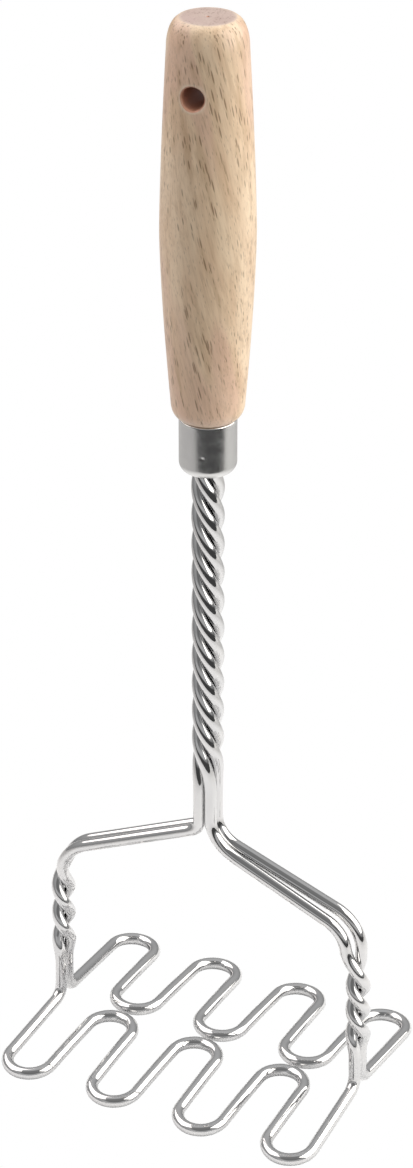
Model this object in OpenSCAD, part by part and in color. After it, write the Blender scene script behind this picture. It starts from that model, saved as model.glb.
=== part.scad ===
// Hand masher with a turned wooden handle.
// Two bent wires are twisted together into a shank, spread into two arms,
// drop down two twisted risers and end in a flat zigzag grid.
// +Z is up, the grid rests on Z = 0, and the handle's axis is the Z axis.
// The grid is long in X. The front wire's grid lies on the -Y side.

/* [Wire] */
// Diameter of the plated steel wire
wire_d = 3.5; // [3.2:0.1:3.6]
// Air left between two strands that lie side by side
strand_gap = 0.08; // [0.04:0.02:0.2]

/* [Grid] */
// Distance in X from one bend of the zigzag to the next
run_pitch = 13.92; // [13.7:0.02:14.4]
// Radius of each bend, at the centre of the wire
bend_r = 6.75; // [5:0.05:6.8]
// Distance of the outer bends' centres from the middle plane
outer_bend_y = 30.5; // [24:0.5:36]
// Distance of the inner bends' centres from the middle plane
inner_bend_y = 9.3; // [9:0.1:12]
// How far the bends sit to the right of the feet on the front wire
grid_shift = 0.3; // [-0.5:0.1:0.5]
// Height by which the middle of the grid is arched above its tips
crown = 1.65; // [0:0.05:3]
// Height of the wire's centre where a riser turns into the grid
foot_z = 4.8; // [4:0.1:7]
// Radius of the bend between a riser and the grid
foot_bend_r = 4; // [2:0.1:5]

/* [Arms and risers] */
// Height of the bend between shank and arm, left and right
hub_z = [76.3, 73.6]; // [70:0.1:80]
// Radius of that bend, left and right
hub_bend_r = [3.2, 9.2]; // [3:0.1:10]
// Slope of the arm below the horizontal in degrees, left and right
arm_tilt = [24.4, 19.6]; // [15:0.1:28]
// Radius of the bend between arm and riser, left and right
shoulder_r = [14.3, 12.1]; // [10:0.1:16]
// Distance of the riser from the Z axis at its top
riser_top_x = 47.1; // [45:0.1:50]
// Distance of the riser from the Z axis at its foot
riser_foot_x = 47.9; // [45:0.1:50]
// Height where the pair starts to twist, left and right
twist_top = [52.8, 47.5]; // [46:0.1:54]
// Height where the pair stops twisting, left and right
twist_end = [16.1, 14.7]; // [13:0.1:20]
// How far one strand hangs below its neighbour near the hub, left and right
spread_at_hub = [0.2, 0.5]; // [0:0.1:2]
// How far it hangs below its neighbour near the shoulder, left and right
spread_at_shoulder = [0.2, 3.1]; // [0:0.1:3.4]

/* [Shank] */
// Height of one full turn of the four strands
shank_pitch = 34.2; // [28:0.2:44]
// Height where the four strands stop being straight
shank_straight_z = 88.2; // [84:0.2:92]
// Height over which the twist comes up to its full rate
shank_ease = 14.4; // [8:0.2:20]
// Height of the strands' cut ends inside the handle
wire_end_z = 231; // [210:1:240]

/* [Ferrule] */
// Outer diameter of the steel ferrule
ferrule_d = 15.4; // [15.4:0.1:16.4]
// Thickness of the ferrule's sheet
ferrule_wall = 0.8; // [0.6:0.1:1]
// Height of the ferrule's lower face
ferrule_z = 187.6; // [180:0.1:195]
// Height of the ferrule from its lower face to its rim
ferrule_h = 15.5; // [12:0.1:18]
// Radius of the drawn lower corner, on the outside
ferrule_corner_r = 2.8; // [1.5:0.1:2.8]
// How much wider the ferrule's hole is than the shank that passes through it
ferrule_hole_clearance = 0.5; // [0.2:0.02:0.6]

/* [Handle] */
// Height of the top of the handle
handle_top_z = 311.5; // [290:0.5:330]
// Greatest diameter of the handle
handle_d = 24.8; // [22:0.1:28]
// Height of the thickest place
swell_z = 255; // [245:1:265]
// Diameter just above the shoulder next to the ferrule
neck_d = 19.5; // [18:0.1:20]
// Diameter just below the rounded end
end_d = 20.8; // [18:0.1:22]
// Diameter of the flat facet on the end
facet_d = 14.6; // [10:0.1:16]
// How much wider the hole drilled up the middle is than the shank in it
shank_bore_clearance = 0.3; // [0.2:0.02:0.6]
// Diameter of the hanging hole
hang_hole_d = 6; // [5:0.1:6.5]
// Distance of the hanging hole's axis below the top
hang_hole_drop = 17.8; // [14:0.1:30]
// Angle of the hanging hole's axis about Z, measured from +Y
hang_hole_turn = 6.5; // [-20:0.5:20]

/* [Hidden] */

LEFT = 0;
RIGHT = 1;
spacing = wire_d + strand_gap;
bend_count = 7;

// How finely the curves are drawn, in points or in degrees from one point to the next
wire_sides = 10;
twist_step = 20;
bend_step = 18;
hub_step = 9;
shoulder_step = 7;
riser_points = 33;
ease_points = 8;
run_points = 3;
corner_step = 15;
edge_step = 10;
swell_points = 24;
round_fn = 96;
hole_fn = 48;

// Radius of the circle that the four strands' centres lie on while they are straight
square_r = spacing / sqrt(2);

// The same radius once they lean. With k = twist in radians for each millimetre of height,
// neighbours are about r * sqrt(2) * sqrt(1 - (k r)^2 / 2) apart, and that has to be the spacing.
twist_rate = 2 * PI / shank_pitch;
twisted_r = sqrt(1 - sqrt(1 - pow(twist_rate * spacing, 2))) / twist_rate;
shank_d = 2 * twisted_r + wire_d;

// Each pair in a riser makes one and a half turns, so its strands change places
riser_turn = 540;
riser_ease = 0.25;
// The spread between the strands of an arm closes from above the twist's top to below it
spread_close_h = 9;
spread_close_below = 6;
// Height kept free above a foot's bend, where the riser's points leave off
foot_margin = 1;

ferrule_hole_d = shank_d + ferrule_hole_clearance;
rim_chamfer = 0.3;

socket_clearance = 0.05;
tenon_end_gap = 0.6;
tenon_chamfer = 1.4;
neck_gap = 0.1;
shoulder_h = 4.4;
// The wood starts this far inside the ferrule's outer radius, which leaves the rim in sight
shoulder_inset = 0.8;
swell_power_below = 1.5;
swell_power_above = 1.4;
end_round_h = 7.5;
// The round of the end stops short of level, which leaves the facet an edge
end_round_sweep = 80;
shank_bore_d = shank_d + shank_bore_clearance;
bore_end_gap = 3;
cut_margin = 1;

function unit(v) = v / norm(v);
function smooth(t) = let (u = min(1, max(0, t))) u * u * (3 - 2 * u);
function last(list) = list[len(list) - 1];
function reversed(list) = [for (i = [len(list) - 1 : -1 : 0]) list[i]];
function turned_about_z(list) = [for (p = list) [-p.x, -p.y, p.z]];

// A corner a-b-c rounded with radius r, as points along the arc
function rounded_corner(a, b, c, r, step) =
    let (
        u = unit(a - b),
        v = unit(c - b),
        half = acos(u * v) / 2,
        centre = b + unit(u + v) * r / sin(half),
        first = unit(b + u * r / tan(half) - centre),
        end = unit(b + v * r / tan(half) - centre),
        side = unit(end - (end * first) * first),
        sweep = 180 - 2 * half,
        n = ceil(sweep / step)
    )
    [for (i = [0 : n]) centre + r * (cos(sweep * i / n) * first + sin(sweep * i / n) * side)];

// Middle line of a left pair of strands from the straight hub down to its foot
function pair_line(side) =
    let (
        x0 = spacing / 2,
        hub = [-x0, 0, hub_z[side]],
        shoulder = [-riser_top_x, 0, hub_z[side] - tan(arm_tilt[side]) * (riser_top_x - x0)],
        foot = [-riser_foot_x, 0, foot_z],
        top = [-x0, 0, shank_straight_z],
        hub_arc = rounded_corner(top, hub, shoulder, hub_bend_r[side], hub_step),
        shoulder_arc = rounded_corner(hub, shoulder, foot, shoulder_r[side], shoulder_step),
        arm_start = last(hub_arc),
        arm_end = shoulder_arc[0],
        riser_start = last(shoulder_arc)
    )
    concat(
        hub_arc,
        [(arm_start * 2 + arm_end) / 3, (arm_start + arm_end * 2) / 3],
        shoulder_arc,
        [for (i = [1 : riser_points]) riser_start + (foot - riser_start) * i / riser_points]
    );

// Share of the riser's twist done at height z: even in the middle, gentle at both ends
function twist_share(side, z) =
    let (
        e = riser_ease,
        q = min(1, max(0, (twist_top[side] - z) / (twist_top[side] - twist_end[side])))
    )
    (q < e ? q * q / (2 * e) : q > 1 - e ? 1 - e - (1 - q) * (1 - q) / (2 * e) : q - e / 2) / (1 - e);

// How far the lower strand of an arm hangs below its neighbour at point p of the middle line
function arm_hang(side, p) =
    let (
        out = -p.x - spacing / 2,
        share = min(1, max(0, out / (riser_top_x - spacing / 2))),
        spread = spread_at_hub[side] + (spread_at_shoulder[side] - spread_at_hub[side]) * share
    )
    spread * smooth(out / hub_bend_r[side])
        * smooth((p.z - twist_top[side] + spread_close_below) / spread_close_h);

// One strand of the left pair below the hub; depth is 1 for the back strand and -1 for the front one
function arm_strand(side, depth) =
    let (
        line = pair_line(side),
        hangs = (side == LEFT) == (depth < 0)
    )
    [for (i = [0 : len(line) - 1])
        let (
            p = line[i],
            t = unit(line[min(i + 1, len(line) - 1)] - line[max(i - 1, 0)]),
            inward = [-t.z, 0, t.x],
            angle = 90 * depth + riser_turn * twist_share(side, p.z),
            hang = hangs ? arm_hang(side, p) : 0
        )
        p + (spacing / 2 * cos(angle) + hang) * inward + [0, spacing / 2 * sin(angle), 0]];

// The same strand above the hub, in the shank; the four strands turn clockwise on the way up
function shank_strand(depth) =
    let (
        full_turns_z = shank_straight_z + shank_ease,
        n = ceil((wire_end_z - full_turns_z) / shank_pitch * 360 / twist_step),
        heights = concat(
            [for (i = [0 : n]) wire_end_z + (full_turns_z - wire_end_z) * i / n],
            [for (i = [1 : ease_points]) full_turns_z - shank_ease * i / ease_points]
        )
    )
    [for (z = heights)
        let (
            u = max(0, z - shank_straight_z),
            climbed = u < shank_ease ? u * u / (2 * shank_ease) : u - shank_ease / 2,
            angle = 180 - 45 * depth - climbed * 360 / shank_pitch,
            r = square_r + (twisted_r - square_r) * smooth(u / shank_ease)
        )
        [r * cos(angle), r * sin(angle), z]];

function side_strand(side, depth) = concat(shank_strand(depth), arm_strand(side, depth));

// Grid of the front wire, from the left foot to the right foot.
// Seven bends, turned outwards and inwards by turns, are joined by their common tangents.
function bend_centre(i) =
    [(i - (bend_count - 1) / 2) * run_pitch + grid_shift, i % 2 == 0 ? -outer_bend_y : -inner_bend_y];
function bend_sign(i) = i % 2 == 0 ? -1 : 1;

// Direction from bend i to the point where the tangent to bend i + 1 leaves it
function leave_direction(i) =
    let (
        v = bend_centre(i + 1) - bend_centre(i),
        base = atan2(v.y, v.x)
    )
    base + bend_sign(i) * acos(2 * bend_r / norm(v));

// Direction from an end bend to the point where the tangent from a foot touches it
function foot_direction(foot, i) =
    let (v = [foot.x, foot.y] - bend_centre(i))
    atan2(v.y, v.x) + (i == 0 ? 1 : -1) * acos(bend_r / norm(v));

function bend_arc(i, left_foot, right_foot) =
    let (
        start = i == 0 ? foot_direction(left_foot, i) : leave_direction(i - 1) - 180,
        end = i == bend_count - 1 ? foot_direction(right_foot, i) : leave_direction(i),
        raw = end - start,
        sweep = bend_sign(i) < 0 ? raw - 360 * floor(raw / 360) : raw - 360 * ceil(raw / 360),
        n = ceil(abs(sweep) / bend_step)
    )
    [for (k = [0 : n])
        bend_centre(i) + bend_r * [cos(start + sweep * k / n), sin(start + sweep * k / n)]];

// Points on the straight run from a to b, without its ends
function run_between(a, b) = [for (k = [1 : run_points]) a + (b - a) * k / (run_points + 1)];

function crown_z(y) = wire_d / 2 + crown * (1 - pow(abs(y) / (outer_bend_y + bend_r), 2));

function grid_line(left_foot, right_foot) =
    let (
        arcs = [for (i = [0 : bend_count - 1]) bend_arc(i, left_foot, right_foot)],
        flat = [for (i = [0 : bend_count - 1])
            each i < bend_count - 1
                ? concat(arcs[i], run_between(last(arcs[i]), arcs[i + 1][0]))
                : arcs[i]]
    )
    [for (p = flat) [p.x, p.y, crown_z(p.y)]];

// The whole front wire: down the left side, along the grid and up the right side
function wire_line(sides) =
    let (
        left = side_strand(sides[0], 1),
        right = turned_about_z(side_strand(sides[1], -1)),
        left_foot = last(left),
        right_foot = last(right),
        grid = grid_line(left_foot, right_foot),
        clear_z = foot_z + foot_bend_r + foot_margin,
        left_kept = [for (p = left) if (p.z > clear_z) p],
        right_kept = [for (p = right) if (p.z > clear_z) p]
    )
    concat(
        left_kept,
        rounded_corner(last(left_kept), left_foot, grid[0], foot_bend_r, bend_step),
        grid,
        reversed(rounded_corner(last(right_kept), right_foot, last(grid), foot_bend_r, bend_step)),
        reversed(right_kept)
    );

// A round wire along a line: each ring's zero direction is the last ring's,
// made square to the line again, so the tube does not twist
module round_wire(line) {
    n = len(line);
    tangents = [for (i = [0 : n - 1]) unit(line[min(i + 1, n - 1)] - line[max(i - 1, 0)])];
    normals = [for (
        i = 0, v = unit(cross(tangents[0], [1, 0, 0]));
        i < n;
        i = i + 1, v = i < n ? unit(v - (v * tangents[i]) * tangents[i]) : v
    ) v];
    points = [for (i = [0 : n - 1], k = [0 : wire_sides - 1])
        let (angle = 360 * k / wire_sides)
        line[i] + wire_d / 2 * (cos(angle) * normals[i] + sin(angle) * cross(tangents[i], normals[i]))];
    walls = [for (i = [0 : n - 2], k = [0 : wire_sides - 1], half = [0, 1])
        let (
            a = i * wire_sides + k,
            b = i * wire_sides + (k + 1) % wire_sides
        )
        half == 0 ? [a, a + wire_sides, b] : [b, a + wire_sides, b + wire_sides]];
    caps = [
        [for (k = [0 : wire_sides - 1]) k],
        [for (k = [wire_sides - 1 : -1 : 0]) (n - 1) * wire_sides + k]
    ];
    polyhedron(points, concat(walls, caps), convexity = 10);
}

module front_wire() {
    color("gainsboro")
        round_wire(wire_line([LEFT, RIGHT]));
}

// The rear wire is bent like the front one and turned half a turn about Z
module rear_wire() {
    color("gainsboro")
        round_wire(turned_about_z(wire_line([RIGHT, LEFT])));
}

// A drawn cup with a round hole in its floor; its rim stands up round the handle's neck
module ferrule() {
    r_out = ferrule_d / 2;
    r_in = r_out - ferrule_wall;
    corner_in = ferrule_corner_r - ferrule_wall;
    outer_corner = [for (a = [-90 : corner_step : 0])
        [r_out - ferrule_corner_r + ferrule_corner_r * cos(a), ferrule_corner_r + ferrule_corner_r * sin(a)]];
    inner_corner = [for (a = [0 : -corner_step : -90])
        [r_out - ferrule_corner_r + corner_in * cos(a), ferrule_corner_r + corner_in * sin(a)]];
    color("silver")
        translate([0, 0, ferrule_z])
            rotate_extrude($fn = round_fn)
                polygon(concat(
                    [[ferrule_hole_d / 2, 0]],
                    outer_corner,
                    [[r_out, ferrule_h - rim_chamfer], [r_out - rim_chamfer, ferrule_h], [r_in, ferrule_h]],
                    inner_corner,
                    [[ferrule_hole_d / 2, ferrule_wall]]
                ));
}

// Turned outline: a tenon inside the ferrule, a round shoulder, a long swell and a rounded end
module handle_outline() {
    tenon_r = ferrule_d / 2 - ferrule_wall - socket_clearance;
    tenon_z = ferrule_z + ferrule_wall + tenon_end_gap;
    neck_z = ferrule_z + ferrule_h + neck_gap;
    shoulder_z = neck_z + shoulder_h;
    shoulder_r0 = ferrule_d / 2 - shoulder_inset;
    round_z = handle_top_z - end_round_h;
    round_w = (end_d - facet_d) / 2 / (1 - cos(end_round_sweep));
    tenon = [
        [0, tenon_z],
        [tenon_r - tenon_chamfer, tenon_z],
        [tenon_r, tenon_z + tenon_chamfer],
        [tenon_r, neck_z]
    ];
    shoulder_arc = [for (a = [-90 : edge_step : -edge_step])
        [shoulder_r0 + (neck_d / 2 - shoulder_r0) * cos(a), shoulder_z + shoulder_h * sin(a)]];
    swell = [for (k = [0 : swell_points])
        let (
            z = shoulder_z + (round_z - shoulder_z) * k / swell_points,
            below = max(0, (swell_z - z) / (swell_z - shoulder_z)),
            above = max(0, (z - swell_z) / (round_z - swell_z)),
            thinner = (handle_d - neck_d) * pow(below, swell_power_below)
                + (handle_d - end_d) * pow(above, swell_power_above)
        )
        [(handle_d - thinner) / 2, z]];
    end_arc = [for (a = [edge_step : edge_step : end_round_sweep])
        [end_d / 2 - round_w * (1 - cos(a)), round_z + end_round_h * sin(a) / sin(end_round_sweep)]];
    polygon(concat(tenon, shoulder_arc, swell, end_arc, [[0, handle_top_z]]));
}

module handle() {
    hang_hole_z = handle_top_z - hang_hole_drop;
    shank_bore_h = wire_end_z + bore_end_gap - ferrule_z;
    color("burlywood")
        difference() {
            rotate_extrude($fn = round_fn)
                handle_outline();
            translate([0, 0, ferrule_z - cut_margin])
                cylinder(d = shank_bore_d, h = shank_bore_h + cut_margin, $fn = round_fn);
            translate([0, 0, hang_hole_z])
                rotate([90, 0, hang_hole_turn])
                    cylinder(d = hang_hole_d, h = 2 * handle_d, center = true, $fn = hole_fn);
        }
}

handle();
ferrule();
front_wire();
rear_wire();
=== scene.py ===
# %% [markdown]
# # A wire masher with a turned wooden handle
# The tool has four pieces: two bright wires, a steel ferrule and a wooden handle.
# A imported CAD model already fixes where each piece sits, so it is loaded first as the frame.
# The CAD wires are ten-sided tubes and the hanging hole's edge is sharp. Each piece is made again
# here as a fine surface of the same size, and then gets its own finish.

# %% The fixed frame and its box
import math

import bpy
import numpy as np
from mathutils import Matrix, Vector


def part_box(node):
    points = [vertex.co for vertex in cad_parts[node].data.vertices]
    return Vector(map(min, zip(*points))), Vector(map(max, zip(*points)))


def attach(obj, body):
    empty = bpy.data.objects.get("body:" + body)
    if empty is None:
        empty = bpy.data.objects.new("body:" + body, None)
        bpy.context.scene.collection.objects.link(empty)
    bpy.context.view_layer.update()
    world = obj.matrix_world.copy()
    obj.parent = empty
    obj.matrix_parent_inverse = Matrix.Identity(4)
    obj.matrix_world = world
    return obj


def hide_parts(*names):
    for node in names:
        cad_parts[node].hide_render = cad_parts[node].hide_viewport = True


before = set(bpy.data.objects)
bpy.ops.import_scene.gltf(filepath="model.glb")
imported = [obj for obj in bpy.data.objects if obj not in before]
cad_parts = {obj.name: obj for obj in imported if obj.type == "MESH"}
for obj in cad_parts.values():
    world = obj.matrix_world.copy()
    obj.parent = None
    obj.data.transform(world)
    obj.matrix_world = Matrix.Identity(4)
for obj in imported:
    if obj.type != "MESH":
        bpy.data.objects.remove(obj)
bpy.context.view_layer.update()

mm = 0.001

# %% [markdown]
# ## Curves that a wire bender would use
# Bent wire is straight runs joined by arcs, because a bending pin has a fixed radius.
# A few small functions are enough: a gentle step, unit vectors, an arc that rounds a corner,
# a way to space the points of a line evenly, and half a turn. All lengths are in millimetres
# until a mesh is made.

# %% Gentle steps, unit vectors, arcs and even spacing
def smooth(t):
    """0 below 0 and 1 above 1; between them 3t² - 2t³, which starts and ends level."""
    t = np.clip(t, 0, 1)
    return t * t * (3 - 2 * t)


def unit(v):
    """Each vector divided by its own length."""
    return v / np.linalg.norm(v, axis=-1, keepdims=True)


def rounded_corner(a, b, c, radius, count=48):
    """The arc that touches the lines a-b and b-c. Its centre lies on the corner's bisector,
    radius / sin(half the corner's angle) from the corner b."""
    u, v = unit(a - b), unit(c - b)
    half = math.acos(float(u @ v)) / 2
    centre = b + unit(u + v) * radius / math.sin(half)
    first = unit(b + u * radius / math.tan(half) - centre)
    last = unit(b + v * radius / math.tan(half) - centre)
    across = unit(last - (last @ first) * first)
    angle = np.linspace(0, math.pi - 2 * half, count)[:, None]
    return centre + radius * (np.cos(angle) * first + np.sin(angle) * across)


def evenly(points, step):
    """The same line with evenly spaced points: the distance along it is summed, and each
    coordinate is read off at equal distances."""
    lengths = np.linalg.norm(np.diff(points, axis=0), axis=1)
    along = np.concatenate([[0], np.cumsum(lengths)])
    wanted = np.linspace(0, along[-1], int(along[-1] / step) + 1)
    return np.stack([np.interp(wanted, along, axis) for axis in points.T], axis=1)


def turned_about_z(points):
    """Half a turn about the Z axis: x and y change sign."""
    return points * [-1, -1, 1]


# %% [markdown]
# ## The pair of strands below the shank
# On each side two strands leave the shank side by side, run out along an arm, and drop down
# a riser in which they twist round each other by one and a half turns. One middle line
# carries both strands, and each strand circles it at half their spacing.

# %% Sizes of the wire, the arms and the risers, in millimetres
wire_d = 3.5
strand_gap = 0.08
spacing = wire_d + strand_gap
LEFT, RIGHT = 0, 1
hub_z = [76.3, 73.6]
hub_bend_r = [3.2, 9.2]
arm_tilt = np.radians([24.4, 19.6])
shoulder_r = [14.3, 12.1]
riser_top_x, riser_foot_x, foot_z = 47.1, 47.9, 4.8
foot_bend_r = 4.0
twist_top = [52.8, 47.5]
twist_end = [16.1, 14.7]
riser_turns = 1.5
twist_ease = 0.25
spread_at_hub = [0.2, 0.5]
spread_at_shoulder = [0.2, 3.1]
spread_close_h, spread_close_below = 9, 6
line_step = 0.4
shank_straight_z = 88.2


# %% One strand from the hub down to its foot
def pair_line(side):
    """The middle line of a left pair in the XZ plane: shank, hub bend, arm, shoulder bend
    and riser. The shoulder lies on the arm's slope, at the riser's distance."""
    x0 = spacing / 2
    top = np.array([-x0, 0, shank_straight_z])
    hub = np.array([-x0, 0, hub_z[side]])
    drop = math.tan(arm_tilt[side]) * (riser_top_x - x0)
    shoulder = np.array([-riser_top_x, 0, hub_z[side] - drop])
    foot = np.array([-riser_foot_x, 0, foot_z])
    hub_arc = rounded_corner(top, hub, shoulder, hub_bend_r[side])
    shoulder_arc = rounded_corner(hub, shoulder, foot, shoulder_r[side])
    return evenly(np.concatenate([hub_arc, shoulder_arc, foot[None]]), line_step)


def twist_share(side, z):
    """Share of the riser's twist done at height z. Its rate climbs evenly over the first
    quarter, stays level, and falls evenly over the last quarter."""
    e = twist_ease
    q = np.clip((twist_top[side] - z) / (twist_top[side] - twist_end[side]), 0, 1)
    start = q * q / (2 * e)
    end = 1 - e - (1 - q) ** 2 / (2 * e)
    return np.where(q < e, start, np.where(q > 1 - e, end, q - e / 2)) / (1 - e)


def arm_strand(side, depth):
    """A strand circles the middle line: spacing/2 · (cos, sin) of its angle, which starts
    at the back (depth 1) or front (-1). One strand of each pair also hangs a little lower,
    by an amount that grows along the arm and closes where the twist begins."""
    line = pair_line(side)
    tangent = unit(np.gradient(line, axis=0))
    inward = np.stack([-tangent[:, 2], 0 * tangent[:, 0], tangent[:, 0]], axis=1)
    turn = 2 * math.pi * riser_turns * twist_share(side, line[:, 2])
    angle = math.radians(90) * depth + turn
    outward = np.clip((-line[:, 0] - spacing / 2) / (riser_top_x - spacing / 2), 0, 1)
    spread = spread_at_hub[side] + (spread_at_shoulder[side] - spread_at_hub[side]) * outward
    hangs = (side == LEFT) == (depth < 0)
    leaving_hub = smooth((-line[:, 0] - spacing / 2) / hub_bend_r[side])
    above_twist = smooth((line[:, 2] - twist_top[side] + spread_close_below) / spread_close_h)
    hang = hangs * spread * leaving_hub * above_twist
    aside = spacing / 2 * np.cos(angle) + hang
    strand = line + aside[:, None] * inward
    strand[:, 1] += spacing / 2 * np.sin(angle)
    return strand


print("arm strand points:", len(arm_strand(LEFT, 1)))

# %% [markdown]
# ## The shank
# Above the hub all four strands are twisted together like a rope. Tight strands lean, so
# each takes more room in a level cut and the rope is a little wider than four straight rods.
# With k radians of twist for each millimetre, neighbours on a circle of radius r are about
# r √2 · √(1 - (k r)² / 2) apart, and the radius is the one that makes this their spacing.

# %% The shank's strands
shank_pitch = 34.2
shank_ease = 14.4
wire_end_z = 231.0
shank_points = 360
square_r = spacing / math.sqrt(2)
twist_rate = 2 * math.pi / shank_pitch
twisted_r = math.sqrt(1 - math.sqrt(1 - (twist_rate * spacing) ** 2)) / twist_rate
shank_d = 2 * twisted_r + wire_d
print("twisted shank:", round(shank_d, 2), "mm across")


def shank_strand(depth):
    """A helix about Z, from the strand's end in the handle down to the straight part. Over
    the ease height the angle grows with the square of the height, then in proportion. The
    two strands of a pair start 45 degrees to either side of -X."""
    z = np.linspace(wire_end_z, shank_straight_z, shank_points)
    u = z - shank_straight_z
    climbed = np.where(u < shank_ease, u * u / (2 * shank_ease), u - shank_ease / 2)
    angle = np.radians(180 - 45 * depth) - climbed * twist_rate
    r = square_r + (twisted_r - square_r) * smooth(u / shank_ease)
    return np.stack([r * np.cos(angle), r * np.sin(angle), z], axis=1)


# %% [markdown]
# ## The grid
# Each wire is bent back and forth into seven loops. The bends turn outwards and inwards by
# turns, and the straight runs are the common tangents of neighbouring bends. The whole grid
# is arched a little, so that it rests on its outer tips.

# %% The zigzag of one wire
run_pitch = 13.92
bend_r = 6.75
outer_bend_y, inner_bend_y = 30.5, 9.3
grid_shift = 0.3
crown = 1.65
bend_count = 7
bend_points = 60
foot_margin = 1


def grid_line(left_foot, right_foot):
    """Seven arcs joined by straight tangents. For two bends that turn opposite ways, the
    tangent leaves at the direction between their centres, plus or minus
    arccos(2 · radius / distance). Height is that of an arch, crown · (1 - (y/reach)²)."""
    order = np.arange(bend_count)
    outer = order % 2 == 0
    across = (order - bend_count // 2) * run_pitch + grid_shift
    centres = np.stack([across, -np.where(outer, outer_bend_y, inner_bend_y)], axis=1)
    turn = np.where(outer, -1, 1)
    to_next = np.diff(centres, axis=0)
    opening = np.arccos(2 * bend_r / np.linalg.norm(to_next, axis=1))
    leave = np.arctan2(to_next[:, 1], to_next[:, 0]) + turn[:-1] * opening
    to_feet = np.stack([left_foot[:2] - centres[0], right_foot[:2] - centres[-1]])
    foot_opening = np.arccos(bend_r / np.linalg.norm(to_feet, axis=1))
    at_feet = np.arctan2(to_feet[:, 1], to_feet[:, 0]) + np.array([1, -1]) * foot_opening
    start = np.concatenate([at_feet[:1], leave - math.pi])
    end = np.concatenate([leave, at_feet[1:]])
    sweep = np.mod(end - start, 2 * math.pi) - np.where(outer, 0, 2 * math.pi)
    angle = start[:, None] + sweep[:, None] * np.linspace(0, 1, bend_points)
    around = np.stack([np.cos(angle), np.sin(angle)], axis=-1)
    flat = evenly((centres[:, None] + bend_r * around).reshape(-1, 2), line_step)
    reach = outer_bend_y + bend_r
    height = wire_d / 2 + crown * (1 - (flat[:, 1] / reach) ** 2)
    return np.column_stack([flat, height])


def wire_line(sides):
    """A whole wire: down the left side, along its grid and up the right side."""
    left = np.concatenate([shank_strand(1), arm_strand(sides[0], 1)])
    right = turned_about_z(np.concatenate([shank_strand(-1), arm_strand(sides[1], -1)]))
    grid = grid_line(left[-1], right[-1])
    clear_z = foot_z + foot_bend_r + foot_margin
    left_kept, right_kept = left[left[:, 2] > clear_z], right[right[:, 2] > clear_z]
    left_foot = rounded_corner(left_kept[-1], left[-1], grid[0], foot_bend_r)
    right_foot = rounded_corner(right_kept[-1], right[-1], grid[-1], foot_bend_r)
    return np.concatenate([left_kept, left_foot, grid, right_foot[::-1], right_kept[::-1]])


ring_step = 0.7
front_line = evenly(wire_line([LEFT, RIGHT]), ring_step)
rear_line = evenly(turned_about_z(wire_line([RIGHT, LEFT])), ring_step)
print("wire in each piece:", round(len(front_line) * ring_step), round(len(rear_line) * ring_step), "mm")

# %% [markdown]
# ## From points to a mesh
# Every surface here is a grid of points, with rows along one direction and columns round it.
# One function names the four corners of each cell, and another puts points and faces into a
# Blender object that rides on the frame.

# %% Cells of a grid and finished pieces
def cells(ids):
    """The quads of a grid of point numbers: each cell's corners, taken down, across, up and
    back, so that it faces outwards when rows go down and columns go to the right."""
    corners = [ids[:-1, :-1], ids[1:, :-1], ids[1:, 1:], ids[:-1, 1:]]
    return np.stack(corners, axis=-1).reshape(-1, 4)


def closed_round(ids):
    """The grid with its first column repeated at the end, so that it closes on itself."""
    return np.concatenate([ids, ids[:, :1]], axis=1)


def make_piece(name, points, faces, node, material, values=None):
    """Millimetre points and lists of corner numbers become one smooth mesh object. values
    are named numbers or vectors, one for each point, that the material can read."""
    mesh = bpy.data.meshes.new(name)
    mesh.from_pydata((points * mm).tolist(), [], faces)
    mesh.polygons.foreach_set("use_smooth", np.ones(len(mesh.polygons), bool))
    for key, array in (values or {}).items():
        kind, field = ("FLOAT", "value") if array.ndim == 1 else ("FLOAT_VECTOR", "vector")
        mesh.attributes.new(key, kind, "POINT").data.foreach_set(field, array.astype(np.float32).ravel())
    mesh.materials.append(material)
    mesh.update()
    piece = bpy.data.objects.new(name, mesh)
    bpy.context.scene.collection.objects.link(piece)
    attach(piece, "root")
    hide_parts(node)
    print(f"{name}: {len(mesh.vertices)} points, {len(mesh.polygons)} faces")


# %% [markdown]
# ## Nodes in a few words
# Colours are picked as sRGB hex values, and Blender works in linear light, so one function
# turns them. Another adds a node, sets its values and joins its inputs, which keeps each
# material short enough to read as a recipe.

# %% Colours and nodes
def linear(colour):
    """sRGB hex to linear: c / 12.92 for dark channels, ((c + 0.055) / 1.055)^2.4 for others."""
    c = np.array([int(colour[i:i + 2], 16) for i in (1, 3, 5)]) / 255
    return [*np.where(c <= 0.04045, c / 12.92, ((c + 0.055) / 1.055) ** 2.4).tolist(), 1.0]


def add(tree, kind, settings=None, links=None):
    """Adds one node. A setting is an input's name or number, or else a property of the node,
    and a hex value becomes a colour. A link gives an input its source: an output, or a node,
    which stands for its first output in use."""
    node = tree.nodes.new("ShaderNode" + kind)
    for name, value in (settings or {}).items():
        value = linear(value) if isinstance(value, str) and value.startswith("#") else value
        if isinstance(name, int) or name in node.inputs:
            node.inputs[name].default_value = value
        else:
            setattr(node, name, value)
    for name, source in (links or {}).items():
        if hasattr(source, "outputs"):
            source = next(output for output in source.outputs if output.enabled)
        tree.links.new(source, node.inputs[name])
    return node


def new_material(name):
    """An empty material's node tree, and the material."""
    material = bpy.data.materials.new(name)
    material.use_nodes = True
    material.node_tree.nodes.clear()
    return material, material.node_tree


print("white is", linear("#FFFFFF"))

# %% [markdown]
# ## Bright plated wire
# The wires are drawn steel, plated after bending and left bright. Plating copies the drawing
# lines underneath, so a mirror-like wire still carries faint lines along its length, and
# its gloss drifts slightly where the plating is thicker.

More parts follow.
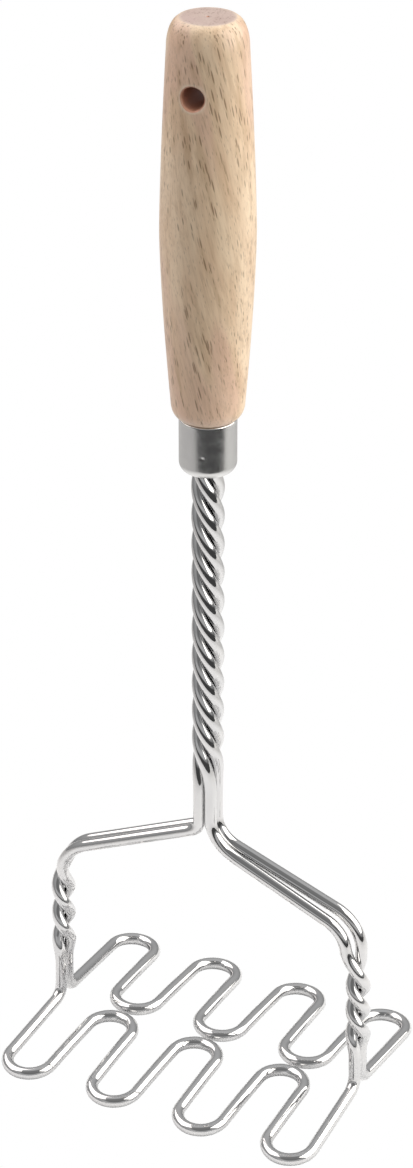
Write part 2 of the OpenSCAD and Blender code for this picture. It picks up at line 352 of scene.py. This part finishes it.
# %% Bright chrome plate on drawn steel wire
def chrome_plated_wire():
    """Lines along the wire come from noise on (cos, sin, distance): it is fine round the
    wire and very long along it. The plate's own grey is that of polished chrome."""
    material, tree = new_material("bright_chrome_plate_on_drawn_wire")
    lay = add(tree, "Attribute", {"attribute_name": "wire_lay"})
    # Real drawing lines are about 0.05 mm apart. One unit of cos or sin is the wire's radius,
    # 1.75 mm, so these are 1.75 / 3.3 = 0.5 mm apart, coarse enough to show
    stretched = add(tree, "Mapping", {"Scale": (3.3, 3.3, 0.04)}, {"Vector": lay.outputs["Vector"]})
    drawn = add(tree, "TexNoise", {"Scale": 1.0, "Detail": 3.0}, {"Vector": stretched})
    # Plating thickness drifts over about a centimetre
    drift = add(tree, "TexNoise", {"Scale": 0.12, "Detail": 2.0}, {"Vector": lay.outputs["Vector"]})
    gloss = add(tree, "MapRange", {"From Min": 0.3, "From Max": 0.7, "To Min": 0.03, "To Max": 0.09},
                {"Value": drift})
    lines = add(tree, "Bump", {"Strength": 0.25, "Distance": 0.00002}, {"Height": drawn})
    grey = add(tree, "Mix", {"data_type": "RGBA", 6: "#C8C9CB", 7: "#D6D5D4"}, {0: drift})
    shader = add(tree, "BsdfPrincipled", {"Metallic": 1.0},
                 {"Base Color": grey, "Roughness": gloss, "Normal": lines})
    add(tree, "OutputMaterial", links={"Surface": shader})
    return material


# %% [markdown]
# ## The two wires
# A round tube follows each line. Its rings need two directions square to the line. Both come
# from one fixed direction that the wire never runs along, so no ring ever flips over.

# %% Tubes along the wires
wire_sides = 28
never_along = unit(np.array([0.6, -0.5, 0.62]))


def wire_piece(name, line, node, material):
    """Point (i, k) is line[i] + radius · (cos φ · n1 - sin φ · n2), with n1 = tangent x the
    fixed direction and n2 = tangent x n1. The cut ends are closed with flat faces."""
    tangent = unit(np.gradient(line, axis=0))
    n1 = unit(np.cross(tangent, never_along))
    n2 = np.cross(tangent, n1)
    phi = np.linspace(0, 2 * math.pi, wire_sides, endpoint=False)[None, :, None]
    rings = line[:, None] + wire_d / 2 * (np.cos(phi) * n1[:, None] - np.sin(phi) * n2[:, None])
    ids = np.arange(len(line) * wire_sides).reshape(len(line), wire_sides)
    along = np.broadcast_to(np.arange(len(line))[:, None] * ring_step, ids.shape)
    lay = np.stack([np.cos(phi[..., 0]) + 0 * along, np.sin(phi[..., 0]) + 0 * along, along], axis=-1)
    caps = [ids[0].tolist(), ids[-1][::-1].tolist()]
    faces = cells(closed_round(ids)).tolist() + caps
    values = {"wire_lay": lay.reshape(-1, 3)}
    make_piece(name, rings.reshape(-1, 3), faces, node, material, values)


plated = chrome_plated_wire()
wire_piece("front_wire_bright", front_line, "front_wire", plated)
wire_piece("rear_wire_bright", rear_line, "rear_wire", plated)

# %% [markdown]
# ## Turned and drawn shapes
# The handle is turned on a lathe and the ferrule is drawn from sheet, so both are an outline
# turned about the Z axis. The columns start at the hanging hole's direction, which puts a
# column exactly on the hole's axis.

# %% Rings about the Z axis
hole_turn = math.radians(6.5)


def turned_rings(outline, columns):
    """Point (i, k) is outline point (r, z) at angle θ from the hole's axis: r · sin θ to the
    right of the axis, r · cos θ along it, at height z."""
    theta = np.linspace(0, 2 * math.pi, columns, endpoint=False)
    return placed(outline[:, :1] * np.cos(theta), outline[:, :1] * np.sin(theta),
                  np.broadcast_to(outline[:, 1:], (len(outline), columns)))


def placed(forward, right, z):
    """Points given along the hole's axis, to its right, and up."""
    c, s = math.cos(hole_turn), math.sin(hole_turn)
    return np.stack([s * forward + c * right, -c * forward + s * right, z], axis=-1)


# %% [markdown]
# ## Satin drawn steel
# The ferrule is a small cup pressed from sheet steel and tumbled. It is dull enough to blur
# what it reflects into soft upright bands, with faint upright lines left by the drawing die
# and cloudy marks from the tumbling. Its rim and lower corner are smoothed by rubbing, and
# their grey is lightened: partly for the rubbing and partly as a painted highlight.

# %% Tumbled drawn steel
def tumbled_drawn_steel():
    """Upright lines are noise squeezed in X and Y and stretched in Z. Clouds are soft noise
    a few millimetres wide. The value for the rim and lower corner lowers the roughness there and
    lightens the grey, partly for smoothing by rubbing and partly as a painted highlight."""
    material, tree = new_material("tumbled_drawn_steel")
    place = add(tree, "TexCoord").outputs["Object"]
    # Rim and lower corner: smoothed by rubbing, and a lighter grey that is partly rubbing and partly a
    # painted highlight
    rubbed_and_highlight = add(tree, "Attribute", {"attribute_name": "rubbed_and_highlight"}).outputs["Fac"]
    # Die lines 0.25 mm apart and about 6 mm long
    stretched = add(tree, "Mapping", {"Scale": (4000, 4000, 160)}, {"Vector": place})
    lines = add(tree, "TexNoise", {"Scale": 1.0, "Detail": 2.0}, {"Vector": stretched})
    # Tumbling marks 2 mm across
    clouds = add(tree, "TexNoise", {"Scale": 500.0, "Detail": 4.0, "Roughness": 0.6}, {"Vector": place})
    dull = add(tree, "MapRange", {"From Min": 0.3, "From Max": 0.7, "To Min": 0.18, "To Max": 0.27},
               {"Value": clouds})
    roughness = add(tree, "Math", {"operation": "MULTIPLY_ADD", 1: -0.08}, {0: rubbed_and_highlight, 2: dull})
    fine = add(tree, "Bump", {"Strength": 0.3, "Distance": 0.00002}, {"Height": lines})
    dents = add(tree, "Bump", {"Strength": 0.35, "Distance": 0.00003}, {"Height": clouds, "Normal": fine})
    mottled = add(tree, "Mix", {"data_type": "RGBA", 6: "#C4C4C4", 7: "#D8D8D7"}, {0: clouds})
    # Painted highlight in part: the grey is lightened towards #DCDCDA on the rim and lower corner
    grey = add(tree, "Mix", {"data_type": "RGBA", 7: "#DCDCDA"}, {0: rubbed_and_highlight, 6: mottled})
    shader = add(tree, "BsdfPrincipled", {"Metallic": 1.0},
                 {"Base Color": grey, "Roughness": roughness, "Normal": dents})
    add(tree, "OutputMaterial", links={"Surface": shader})
    return material


# %% [markdown]
# ## The ferrule
# The cup's outline goes down the outside, in under the floor, up through the hole, out over
# the floor inside and up to the rim. Every corner is rounded, because pressed sheet has no
# sharp ones. A small punched dent holds the cup to the wood.

# %% Outline, dent and surface of the ferrule
ferrule_low, ferrule_high = (corner.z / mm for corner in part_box("ferrule"))
ferrule_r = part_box("ferrule")[1].x / mm
ferrule_wall = 0.8
ferrule_corner_r = 2.8
ferrule_hole_clearance = 0.5
ferrule_hole_r = (shank_d + ferrule_hole_clearance) / 2
dent_z, dent_r, dent_depth = ferrule_low + 6.5, 0.45, 0.12
dent_angle = math.radians(17) - hole_turn
outer_rim_r, inner_rim_r, floor_hole_rim_r = 0.35, 0.25, 0.15
corner_points, ferrule_step = 12, 0.22
# Height and fade of the lighter, smoother bands at the rim and the lower corner: partly rubbing, partly a
# painted highlight
bright_rim_h, rim_fade = 0.9, 0.6
bright_corner_h, corner_fade, corner_share = 1.6, 1.2, 0.4
print("ferrule:", round(ferrule_high - ferrule_low, 2), "mm tall and", round(2 * ferrule_r, 2), "mm across")


def rounded_outline(corners, radii):
    """A closed outline with each corner replaced by an arc of its own radius."""
    corners = np.array(corners, float)
    arcs = [rounded_corner(corners[i - 1], corners[i], corners[(i + 1) % len(corners)], r, corner_points)
            for i, r in enumerate(radii)]
    return np.concatenate(arcs)


def ferrule_piece(material):
    """The outline is spaced evenly and turned. The dent takes depth · exp(-(distance/size)²)
    off the outer radius round its middle."""
    inner_r = ferrule_r - ferrule_wall
    corners = [
        (ferrule_r, ferrule_high), (ferrule_r, ferrule_low), (ferrule_hole_r, ferrule_low),
        (ferrule_hole_r, ferrule_low + ferrule_wall), (inner_r, ferrule_low + ferrule_wall),
        (inner_r, ferrule_high)]
    radii = [outer_rim_r, ferrule_corner_r, floor_hole_rim_r, floor_hole_rim_r,
             ferrule_corner_r - ferrule_wall, inner_rim_r]
    closed = rounded_outline(corners, radii)
    outline = evenly(np.concatenate([closed, closed[:1]]), ferrule_step)[:-1]
    columns = 200
    rings = turned_rings(outline, columns)
    theta = np.linspace(-math.pi, math.pi, columns, endpoint=False)
    theta = np.roll(theta, columns // 2)
    aside = ferrule_r * (theta[None] - dent_angle)
    distance2 = aside**2 + (outline[:, 1:] - dent_z) ** 2
    outside = outline[:, :1] > ferrule_r - ferrule_wall / 2
    dent = dent_depth * np.exp(-distance2 / dent_r**2) * outside
    rings[..., :2] *= (1 - dent / outline[:, :1])[..., None]
    # Lighter, smoother bands on the rim and the lower corner: partly rubbing, partly a painted highlight
    rim = smooth((outline[:, 1] - ferrule_high + bright_rim_h) / rim_fade)
    low_corner = corner_share * smooth((ferrule_low + bright_corner_h - outline[:, 1]) / corner_fade)
    rubbed_and_highlight = np.repeat(np.maximum(rim, low_corner), columns)
    ids = closed_round(np.arange(len(outline) * columns).reshape(-1, columns))
    ids = np.concatenate([ids, ids[:1]])
    make_piece("ferrule_cup", rings.reshape(-1, 3), cells(ids).tolist(), "ferrule",
               material, {"rubbed_and_highlight": rubbed_and_highlight})


ferrule_piece(tumbled_drawn_steel())

# %% [markdown]
# ## Lacquered hardwood
# The handle is a pale, even hardwood such as rubberwood, turned, sanded and given a thin
# satin lacquer. Its pores are cut lengthwise on the sides, where they show as short brown
# strokes, and across on the end, where they show as dots. Solid patterns in three directions
# give both from one material. The board's fibres lean a little against the lathe's axis.

# %% Satin-lacquered rubberwood
# The fibres lean within the upright plane square to this azimuth
lean_plane = math.radians(27.9)
fibre_lean = math.radians(13)


def lacquered_rubberwood():
    """All patterns live in the board's own millimetres, with Z along the fibres. Pores are
    cells of a Voronoi pattern, kept near their middles: a cell 0.75 mm wide and 6.5 mm
    long, kept within 0.27 of its size, gives a stroke about 0.4 mm wide and 3.5 mm long."""
    material, tree = new_material("satin_lacquered_rubberwood")
    lean = Matrix.Rotation(fibre_lean, 3, "Y") @ Matrix.Rotation(-lean_plane, 3, "Z")
    place = add(tree, "TexCoord").outputs["Object"]
    board = add(tree, "Mapping", {"Scale": [1 / mm] * 3, "Rotation": lean.to_euler()}, {"Vector": place})
    end_grain, drilled, worn_and_highlight = (
        add(tree, "Attribute", {"attribute_name": name}).outputs["Fac"]
        for name in ("end_grain", "drilled", "worn_and_highlight"))

    # Each pattern is measured in cells: width across and length along the fibres, in mm
    cell_sizes = {"growth": (5, 40), "drift": (12, 45), "fibres": (0.5, 8), "streaks": (2.4, 26),
                  "large": (0.75, 6.5), "small": (0.55, 3)}
    spaces = {name: add(tree, "Mapping", {"Scale": (1 / wide, 1 / wide, 1 / long)}, {"Vector": board})
              for name, (wide, long) in cell_sizes.items()}
    growth = add(tree, "TexNoise", {"Scale": 1.0, "Detail": 3.0, "Distortion": 0.4},
                 {"Vector": spaces["growth"]})
    drift = add(tree, "TexNoise", {"Scale": 1.0, "Detail": 1.0}, {"Vector": spaces["drift"]})
    fibres = add(tree, "TexNoise", {"Scale": 1.0, "Detail": 4.0, "Roughness": 0.65},
                 {"Vector": spaces["fibres"]})
    streaks = add(tree, "TexNoise", {"Scale": 1.0, "Detail": 2.0}, {"Vector": spaces["streaks"]})
    large = add(tree, "TexVoronoi", {"Scale": 1.0}, {"Vector": spaces["large"]})
    small = add(tree, "TexVoronoi", {"Scale": 1.0}, {"Vector": spaces["small"]})

    # Large pores show where they gather in streaks, and small ones are scattered everywhere
    large_pores = add(tree, "MapRange", {"From Min": 0.2, "From Max": 0.36, "To Min": 1.0, "To Max": 0.0},
                      {"Value": large})
    gathered = add(tree, "MapRange", {"From Min": 0.42, "From Max": 0.56}, {"Value": streaks})
    small_pores = add(tree, "MapRange", {"From Min": 0.12, "From Max": 0.28, "To Min": 0.55, "To Max": 0.0},
                      {"Value": small})
    in_streaks = add(tree, "Math", {"operation": "MULTIPLY"}, {0: large_pores, 1: gathered})
    pores = add(tree, "Math", {"operation": "MAXIMUM"}, {0: in_streaks, 1: small_pores})

    # Each layer lays its colour over the last: none up to low, and its full share from high on
    # The first lies on the bare wood's own colour. Each is source, low, high, share, colour
    tone = "#ECD4B6"
    layers = [
        (growth, 0.35, 0.65, 1.0, "#DCBFA0"), (drift, 0.48, 0.36, 0.6, "#DDB9A4"),
        (drift, 0.54, 0.66, 0.45, "#EBD6BA"), (fibres, 0.4, 0.75, 0.35, "#A5845F"),
        (streaks, 0.48, 0.72, 0.4, "#B08E69"), (end_grain, 0.0, 1.0, 0.75, "#AE9C9C"),
        # Lighter on the rounded edges of the facet and the hole: partly wear, partly a painted highlight
        (pores, 0.0, 1.0, 0.6, "#6E4B2E"), (worn_and_highlight, 0.0, 1.0, 0.5, "#E8D8C4"),
        # Darker in the hole and the pit: partly bare wood, partly painted shade in the recesses
        (drilled, 0.0, 1.0, 1.0, "#C49279")]
    for source, low, high, most, colour in layers:
        share = add(tree, "MapRange", {"interpolation_type": "SMOOTHSTEP", "From Min": low, "From Max": high,
                                       "To Max": most}, {"Value": source})
        settings, links = {"data_type": "RGBA", 7: colour}, {0: share}
        (settings if isinstance(tone, str) else links)[6] = tone
        tone = add(tree, "Mix", settings, links)

    # Sunk pores and raised fibres, a few hundredths of a millimetre deep
    relief = add(tree, "Math", {"operation": "MULTIPLY_ADD", 1: -1.0}, {0: pores, 2: fibres})
    grain = add(tree, "Bump", {"Strength": 0.35, "Distance": 0.00008}, {"Height": relief})
    dull = add(tree, "MapRange", {"From Min": 0.3, "From Max": 0.7, "To Min": 0.36, "To Max": 0.5},
               {"Value": fibres})
    shader = add(tree, "BsdfPrincipled",
                 {"IOR": 1.5, "Coat Weight": 0.35, "Coat Roughness": 0.28, "Coat IOR": 1.5},
                 {"Roughness": dull, "Normal": grain, "Base Color": tone})
    add(tree, "OutputMaterial", links={"Surface": shader})
    return material


# %% [markdown]
# ## The handle
# The lathe leaves a long swell, a rounded end with a flat facet, and the small pit of the
# lathe's centre. The hanging hole is drilled afterwards, and its edge is rubbed round. A
# Boolean cut would leave slivers, so the grid of the turned surface is opened by a square,
# and rings of quads lead from the square's border over a round edge into the hole.

# %% Outline of the handle, from the end's centre round to the blind bore
handle_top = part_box("handle")[1].z / mm
tenon_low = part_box("handle")[0].z / mm
handle_r, neck_r, end_r, facet_r = 12.4, 9.75, 10.4, 7.3
swell_z = 255.0
end_round_h = 7.5
pit_r, pit_depth = 0.5, 1.1
end_arc_sweep = math.radians(80)
shoulder_h = 4.4
shoulder_inset = 0.8
seat_gap, tenon_fit, tenon_chamfer = 0.1, 0.05, 1.4
shank_bore_clearance, bore_spare, bore_point_h = 0.3, 3, 2
swell_power, end_power = 1.5, 1.4
facet_edge_r, edge_joins_at, edge_points = 1.2, 6, 8
outside_step, facet_step, hidden_step = 0.55, 0.6, 1.2
pit_points, end_points, swell_points, shoulder_points = 6, 30, 160, 20
neck_start_z = ferrule_high + seat_gap
tenon_r = ferrule_r - ferrule_wall - tenon_fit
shank_bore_r = (shank_d + shank_bore_clearance) / 2
shank_bore_top = wire_end_z + bore_spare
print("handle:", round(handle_top - neck_start_z, 2), "mm long and", 2 * handle_r, "mm across")


def handle_outline():
    """Below the swell the radius falls with the 1.5th power of the distance from it, above
    it with the 1.4th. The end is an arc of an ellipse that stops 10 degrees short of level,
    which leaves the facet an edge. A small arc then rounds it."""
    radius = np.linspace(pit_r / pit_points, pit_r, pit_points)
    pit = np.stack([radius, handle_top - pit_depth * (1 - smooth(radius / pit_r))], axis=1)
    round_z = handle_top - end_round_h
    tall = end_round_h / math.sin(end_arc_sweep)
    wide = (end_r - facet_r) / (1 - math.cos(end_arc_sweep))
    angle = np.linspace(end_arc_sweep, 0, end_points)
    end_arc = np.stack([end_r - wide * (1 - np.cos(angle)), round_z + tall * np.sin(angle)], axis=1)
    edge = rounded_corner(np.array([pit_r, handle_top]), end_arc[0], end_arc[edge_joins_at],
                          facet_edge_r, edge_points)
    shoulder_top = neck_start_z + shoulder_h
    z = np.linspace(round_z, shoulder_top, swell_points)[1:]
    below = np.clip((swell_z - z) / (swell_z - shoulder_top), 0, 1)
    above = np.clip((z - swell_z) / (round_z - swell_z), 0, 1)
    thinner_below = (handle_r - neck_r) * below**swell_power
    thinner_above = (handle_r - end_r) * above**end_power
    swell = np.stack([handle_r - thinner_below - thinner_above, z], axis=1)
    angle = np.linspace(0, math.pi / 2, shoulder_points)[1:]
    seat_r = ferrule_r - shoulder_inset
    shoulder = np.stack([
        seat_r + (neck_r - seat_r) * np.cos(angle), shoulder_top - shoulder_h * np.sin(angle)], axis=1)
    hidden = np.array([
        (tenon_r, neck_start_z), (tenon_r, tenon_low + tenon_chamfer), (tenon_r - tenon_chamfer, tenon_low),
        (shank_bore_r, tenon_low), (shank_bore_r, shank_bore_top)])
    outside = evenly(np.concatenate([edge, end_arc[edge_joins_at + 1:], swell, shoulder]), outside_step)
    facet = evenly(np.array([pit[-1], outside[0]]), facet_step)[1:-1]
    return np.concatenate([pit, facet, outside, evenly(hidden, hidden_step)])


# %% The turned surface, opened for the hanging hole
hole_r = 3.0
hole_edge_r = 0.6
hole_z = handle_top - 17.8
opening_half = 5
spare_rows = 12
columns = 180
# The opening takes this many columns to each side of the hole's axis
half_columns = 11
surface_rings, edge_rings, wall_rings = 8, 8, 15
inside_wood_r = 8
facet_past, facet_down, facet_fade = 0.2, 0.7, 0.5
# Width, height and share of the lighter band round the facet's edge: partly wear, partly a painted highlight
edge_width, edge_down, edge_fade, edge_share = 0.7, 1.5, 0.7, 0.7
# Reach of the darker pit and hole colour (partly bare wood, partly painted shade) and of the lighter hole
# mouth (partly wear, partly a painted highlight)
pit_share, drilled_fade, mouth_band = 0.9, 0.3, 3.0


def hole_tunnel(outline, first_row, last_row):
    """Rings of quads from the square opening in front, through the wood, to the one behind.
    Each ring is a blend of the square's border and a circle, lifted onto the turned surface
    by forward = sqrt(r(z)² - right²). Then a quarter circle turns the edge into the hole."""
    rows = np.arange(first_row, last_row + 1)
    side = np.arange(-half_columns, half_columns + 1)
    row = np.concatenate([
        np.full(len(side), rows[0]), rows[1:], np.full(len(side) - 1, rows[-1]), rows[-2:0:-1]])
    column = np.concatenate([
        side, np.full(len(rows) - 1, side[-1]), side[-2::-1], np.full(len(rows) - 2, side[0])])
    right = outline[row, 0] * np.sin(2 * math.pi * column / columns)
    up = outline[row, 1] - hole_z
    phi = np.arctan2(up, right)
    circle = np.stack([np.cos(phi), np.sin(phi)], axis=-1)
    border = np.stack([right, up], axis=-1)
    near = outline[last_row + spare_rows:first_row - spare_rows:-1]

    def forward_at(flat):
        """How far the turned surface stands in front of the handle's axis."""
        r = np.interp(flat[..., 1] + hole_z, near[:, 1], near[:, 0])
        return np.sqrt(r**2 - flat[..., 0] ** 2)

    share = np.linspace(0, 1, surface_rings + 1)[1:, None, None]
    on_surface = border + share * ((hole_r + hole_edge_r) * circle - border)
    quarter = np.linspace(0, math.pi / 2, edge_rings + 1)[1:, None, None]
    on_edge = (hole_r + hole_edge_r * (1 - np.sin(quarter))) * circle
    sunk = hole_edge_r * (1 - np.cos(quarter[..., 0]))
    flat = np.concatenate([on_surface, on_edge])
    forward = np.concatenate([forward_at(on_surface), forward_at(on_edge) - sunk])
    depth = np.linspace(1, -1, wall_rings + 2)[1:-1, None]
    wall_forward = forward[-1] * depth
    flat = np.concatenate([flat, np.repeat(flat[-1:], len(depth), axis=0), flat[::-1]])
    forward = np.concatenate([forward, wall_forward, -forward[::-1]])
    return row, column, placed(forward, flat[..., 0], flat[..., 1] + hole_z), len(on_surface), len(on_edge)


def handle_piece(material):
    """Turned rings with both poles closed by fans, the two squares left out, and the tunnel
    between them. Named values mark the end grain, the hole and the pit, which are darker partly for
    bare wood and partly as painted shade, and the rounded edges, which are lighter partly for wear
    and partly as a painted highlight."""
    outline = handle_outline()
    count = len(outline)
    rings = turned_rings(outline, columns).reshape(-1, 3)
    ids = np.arange(count * columns).reshape(count, columns)
    r, z = outline.T
    outer = np.flatnonzero((abs(z - hole_z) < opening_half) & (r > inside_wood_r))
    first_row, last_row = outer[0], outer[-1]
    row, column, tunnel, on_surface, on_edge = hole_tunnel(outline, first_row, last_row)
    quads = cells(closed_round(ids)).reshape(count - 1, columns, 4)
    kept = np.ones((count - 1, columns), bool)
    open_columns = np.arange(-half_columns, half_columns)
    for start in (0, columns // 2):
        kept[first_row:last_row, (start + open_columns) % columns] = False
    front = ids[row, column % columns]
    back = ids[row, (columns // 2 - column) % columns]
    inner = count * columns + np.arange(tunnel.shape[0] * tunnel.shape[1]).reshape(tunnel.shape[:2])
    tunnel_ids = closed_round(np.concatenate([front[None], inner, back[None]]))
    poles = count * columns + inner.size + np.array([0, 1])
    top_fan = np.stack([np.full(columns, poles[0]), ids[0], np.roll(ids[0], -1)], axis=1)
    low_fan = np.stack([np.full(columns, poles[1]), np.roll(ids[-1], -1), ids[-1]], axis=1)
    faces = quads[kept].tolist() + cells(tunnel_ids).tolist() + top_fan.tolist() + low_fan.tolist()
    pole_points = [[0, 0, handle_top - pit_depth], [0, 0, shank_bore_top + bore_point_h]]
    points = np.concatenate([rings, tunnel.reshape(-1, 3), pole_points])

    on_facet = smooth((facet_r + facet_past - r) / facet_fade) * smooth(
        (z - handle_top + facet_down) / facet_fade)
    # Lighter band round the facet's edge: partly wear, partly a painted highlight on the rounded edge
    facet_edge = np.exp(-(((r - facet_r) / edge_width) ** 2)) * smooth(
        (z - handle_top + edge_down) / edge_fade)
    # Pit and hole: darker wood, partly bare wood and partly painted shade in the recesses
    in_pit = (r < pit_r * pit_share) * (z > handle_top - pit_depth)
    position = np.arange(tunnel.shape[0])
    from_mouth = np.minimum(position, tunnel.shape[0] - 1 - position)
    past_edge = smooth((from_mouth - on_surface) / (drilled_fade * on_edge))
    # Lighter band at the hole's mouth: partly wear, partly a painted highlight on the rounded edge
    at_edge = np.exp(-(((from_mouth - on_surface) / mouth_band) ** 2))

    def everywhere(on_outline, on_tunnel):
        """One number for each point: by outline row, by tunnel ring, and for the poles."""
        return np.concatenate([np.repeat(on_outline, columns), np.repeat(on_tunnel, tunnel.shape[1]),
                               [on_outline[0], 1.0]])

    values = {
        "end_grain": everywhere(on_facet, 0 * past_edge),
        "drilled": everywhere(in_pit, past_edge),
        "worn_and_highlight": everywhere(edge_share * facet_edge, at_edge)}
    make_piece("handle_turned", points, faces, "handle", material, values)


handle_piece(lacquered_rubberwood())

# %% [markdown]
# ## Studio
# Bright metal shows what stands round it, so the studio is built for its reflections: one
# soft box high on the left, a larger one on the right that reaches down to the table, a low
# dim card in front, and a room that is darkest high in front. The pale table ends in front
# of the tool, and that dark edge is what the ferrule shows as a broad dark band.

# %% Table
def direction(azimuth, elevation):
    """Unit vector from the tool: azimuth 0 is towards -Y and 90 towards +X, in degrees."""
    a, e = math.radians(azimuth), math.radians(elevation)
    return Vector((math.sin(a) * math.cos(e), -math.cos(a) * math.cos(e), math.sin(e)))


table_front, table_back, table_half_width = 0.23, 3.0, 3.0
table_azimuth = 39
painted_light_full_within, painted_light_faded_beyond = 0.12, 0.33


def pale_table():
    """A flat sheet on Z = 0 whose front edge is straight and close to the tool. It looks
    plain white, and the tool reflects a matt sheet with a painted pool of light: its colour is
    lightest within 12 cm of the tool and greys out to 33 cm."""
    material, tree = new_material("matt_white_table_laminate")
    place = add(tree, "TexCoord").outputs["Object"]
    away = add(tree, "VectorMath", {"operation": "LENGTH"}, {0: place}).outputs["Value"]
    # Painted pool of light: the sheet's colour greys with distance from the tool
    painted_falloff = add(tree, "MapRange", {"From Min": painted_light_full_within, "From Max": painted_light_faded_beyond},
                 {"Value": away})
    white = add(tree, "Mix", {"data_type": "RGBA", 6: "#F2F4F6", 7: "#B8B9BA"}, {0: painted_falloff})
    matt = add(tree, "BsdfPrincipled", {"Roughness": 0.55, "Specular IOR Level": 0.3}, {"Base Color": white})
    plain = add(tree, "Emission", {"Color": "#FFFFFF", "Strength": 1.0})
    seen = add(tree, "LightPath").outputs["Is Camera Ray"]
    shown = add(tree, "MixShader", links={0: seen, 1: matt, 2: plain})
    add(tree, "OutputMaterial", links={"Surface": shown})
    ahead = direction(table_azimuth, 0)
    aside = Vector((-ahead.y, ahead.x, 0))
    corners = [ahead * f + aside * s for f, s in (
        (table_front, -table_half_width), (table_front, table_half_width),
        (-table_back, table_half_width), (-table_back, -table_half_width))]
    mesh = bpy.data.meshes.new("table")
    mesh.from_pydata(corners, [], [(0, 1, 2, 3)])
    mesh.materials.append(material)
    table = bpy.data.objects.new("table", mesh)
    bpy.context.scene.collection.objects.link(table)
    print("table: its front edge is", table_front, "m from the handle's axis")


pale_table()


# %% Soft boxes and room
light_centre_z = 0.1
dark_wall = direction(28, 50)


def soft_box(name, azimuth, elevation, distance, width, height, brightness, tint):
    """An even panel that faces the tool. Its power is brightness · π · area, which makes a
    mirror show it at that brightness from any distance."""
    light = bpy.data.lights.new(name, "AREA")
    light.shape = "RECTANGLE"
    light.size, light.size_y = width, height
    light.energy = brightness * math.pi * width * height
    light.color = linear(tint)[:3]
    box = bpy.data.objects.new(name, light)
    bpy.context.scene.collection.objects.link(box)
    towards = direction(azimuth, elevation)
    box.location = towards * distance + Vector((0, 0, light_centre_z))
    box.rotation_euler = towards.to_track_quat("Z", "Y").to_euler()
    box.visible_camera = False
    print(f"{name}: {light.energy:.1f} W")


# Azimuth and elevation, then distance, width and height in metres, brightness and tint
soft_box("soft_box_left", -83, 47, 1.2, 1.5, 0.97, 2.2, "#FFF6F2")
soft_box("soft_box_right", 112, 34, 1.2, 1.68, 1.39, 3.0, "#FFFBF4")
soft_box("low_front_card", 25, 9, 1.2, 2.2, 0.34, 0.2, "#FFFFFF")


def room():
    """The camera sees plain white. The tool sees a grey room that is darkest in a soft cone
    round one fixed direction, high in front, and below the table's edge."""
    world = bpy.data.worlds.new("studio_room")
    world.use_nodes = True
    tree = world.node_tree
    tree.nodes.clear()
    gaze = add(tree, "TexCoord").outputs["Generated"]
    towards_wall = add(tree, "VectorMath", {"operation": "DOT_PRODUCT", 1: dark_wall}, {0: gaze})
    height = add(tree, "SeparateXYZ", links={0: gaze}).outputs["Z"]
    walls = add(tree, "MapRange", {"From Min": 0.1, "From Max": 0.8, "To Min": 0.35, "To Max": 0.62},
                {"Value": height})
    near_wall = add(tree, "MapRange", {"interpolation_type": "SMOOTHSTEP", "From Min": 0.74, "From Max": 0.9,
                                       "To Min": 1.0, "To Max": 0.42},
                    {"Value": towards_wall.outputs["Value"]})
    above = add(tree, "MapRange", {"From Min": -0.06, "From Max": 0.0, "To Min": 0.2, "To Max": 1.0},
                {"Value": height})
    dimmed = add(tree, "Math", {"operation": "MULTIPLY"}, {0: walls, 1: near_wall})
    strength = add(tree, "Math", {"operation": "MULTIPLY"}, {0: dimmed, 1: above})
    seen = add(tree, "LightPath").outputs["Is Camera Ray"]
    room_grey = add(tree, "Background", {"Color": "#FFFFFF"}, {"Strength": strength})
    plain_white = add(tree, "Background", {"Color": "#FFFFFF", "Strength": 1.0})
    shown = add(tree, "MixShader", links={0: seen, 1: room_grey, 2: plain_white})
    add(tree, "OutputWorld", links={"Surface": shown})
    bpy.context.scene.world = world


room()
bpy.context.scene.view_settings.view_transform = "Standard"

# %% [markdown]
# ## Camera
# A long lens nearly a metre away keeps the handle's taper true. It looks down by 28 degrees.

# %% The view from above and to the right
camera_azimuth, camera_elevation, camera_distance = 27.898, 28.421, 0.88406
look_at = Vector((0, 0, 0.15328))
camera_data = bpy.data.cameras.new("view")
camera_data.sensor_width = 36
camera_data.lens = 101.67
camera_data.shift_x = -0.0013
camera_data.clip_start = 0.01
camera = bpy.data.objects.new("view", camera_data)
bpy.context.scene.collection.objects.link(camera)
back = direction(camera_azimuth, camera_elevation)
camera.location = look_at + back * camera_distance
camera.rotation_euler = back.to_track_quat("Z", "Y").to_euler()
bpy.context.scene.camera = camera
